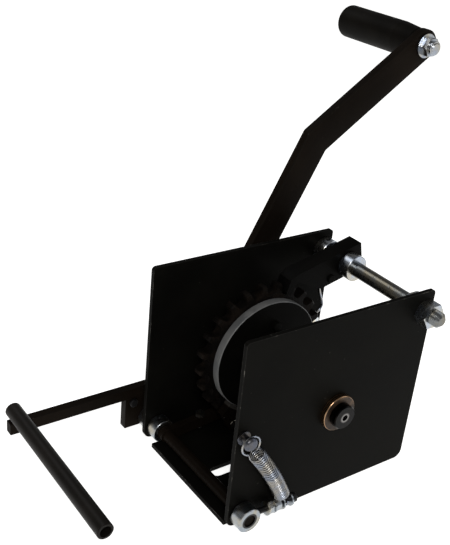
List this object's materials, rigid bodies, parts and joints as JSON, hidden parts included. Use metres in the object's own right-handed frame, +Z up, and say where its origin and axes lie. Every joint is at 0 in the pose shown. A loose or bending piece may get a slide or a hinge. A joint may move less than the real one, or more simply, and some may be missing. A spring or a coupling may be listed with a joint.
{
  "type": "boat trailer winch",
  "caption": "Hand winch for a boat trailer: steel side plates, cable drum with ratchet sprocket and pawl, brake disc and shoe, sprung foot bar and long dog-leg crank with a turning grip.",
  "frame": {"origin": "centre of the base plate's underside, the face that is bolted down", "axes": "+X along the side plates, away from the foot bar; +Y from the front plate to the rear plate, where the crank is; +Z up, square to the base plate"},
  "size_m": [0.5182, 0.342, 0.4083],
  "materials": {
    "barrel_paint": "satin black paint",
    "black_paint": "satin black paint, worn at the edges",
    "bronze": "turned bearing bronze",
    "crank_paint": "brown-black satin paint",
    "dark_steel": "black oxide",
    "disc_steel": "turned steel rim",
    "foot_plastic": "brown-black satin paint",
    "grip_plastic": "moulded black plastic",
    "lining": "woven friction lining",
    "shaft_steel": "dark ground steel",
    "spring_steel": "bright drawn wire",
    "sprocket_steel": "matte black oxide",
    "weld": "painted weld bead",
    "zinc": "bright zinc plate"
  },
  "bodies": {
    "frame": {"front_plate": "black_paint", "rear_plate": "black_paint", "base_plate": "black_paint", "base_welds": "weld", "front_bushing": "bronze", "rear_bushing": "bronze", "pawl_rod": "zinc", "rod_nuts": "zinc", "rod_collars": "zinc", "rod_collar_screws": "dark_steel", "spring_anchor": "zinc", "pawl_spring": "spring_steel", "spring_screw": "zinc", "spring_washer": "zinc", "return_spring": "spring_steel"},
    "drum": {"main_shaft": "shaft_steel", "thrust_washers": "bronze", "drum_flange": "black_paint", "drum_barrel": "barrel_paint", "brake_disc": "disc_steel", "disc_screws": "dark_steel", "rope_clamp_screw": "dark_steel", "ratchet_sprocket": "sprocket_steel", "sprocket_key": "dark_steel", "hub_set_screw": "dark_steel", "crank_hub": "crank_paint", "crank_key": "dark_steel", "crank_arm": "crank_paint", "crank_washer": "zinc", "crank_bolt": "zinc", "handle_bolt": "zinc", "handle_washers": "zinc", "handle_nut": "zinc"},
    "grip": {"handle_grip": "grip_plastic"},
    "pawl": {"pawl": "sprocket_steel", "pawl_pin": "zinc"},
    "pedal": {"pedal_shaft": "crank_paint", "pedal_collars": "zinc", "pedal_collar_screws": "dark_steel", "spring_stud": "dark_steel", "stud_nuts": "zinc", "stud_washers": "zinc", "pedal_link": "crank_paint", "link_screw": "zinc", "pedal_arm": "crank_paint", "foot_bar": "foot_plastic", "brake_arm": "crank_paint", "brake_stop_screw": "zinc", "cross_pin": "shaft_steel", "brake_shoe": "crank_paint", "brake_lining": "lining"}
  },
  "joints": [
    {"name": "drum_spin", "type": "hinge", "parent": "frame", "child": "drum", "pos_m": [0.004, 0, 0.096], "axis": [0, 1, 0], "continuous": true},
    {"name": "grip_spin", "type": "hinge", "parent": "drum", "child": "grip", "pos_m": [0.24423, 0.18, 0.38929], "axis": [0, 1, 0], "continuous": true},
    {"name": "pawl_lift", "type": "hinge", "parent": "frame", "child": "pawl", "pos_m": [0.1027, 0.043, 0.182], "axis": [0, 1, 0], "range_deg": [0, 25], "stiffness_Nm_per_rad": 0.5, "springref_deg": -17.19, "deforming": ["pawl_spring"]},
    {"name": "foot_bar_lift", "type": "hinge", "parent": "frame", "child": "pedal", "pos_m": [-0.0988, 0, 0.0133], "axis": [0, 1, 0], "range_deg": [0, 4], "stiffness_Nm_per_rad": 20, "springref_deg": -8.59, "deforming": ["return_spring"]}
  ]
}
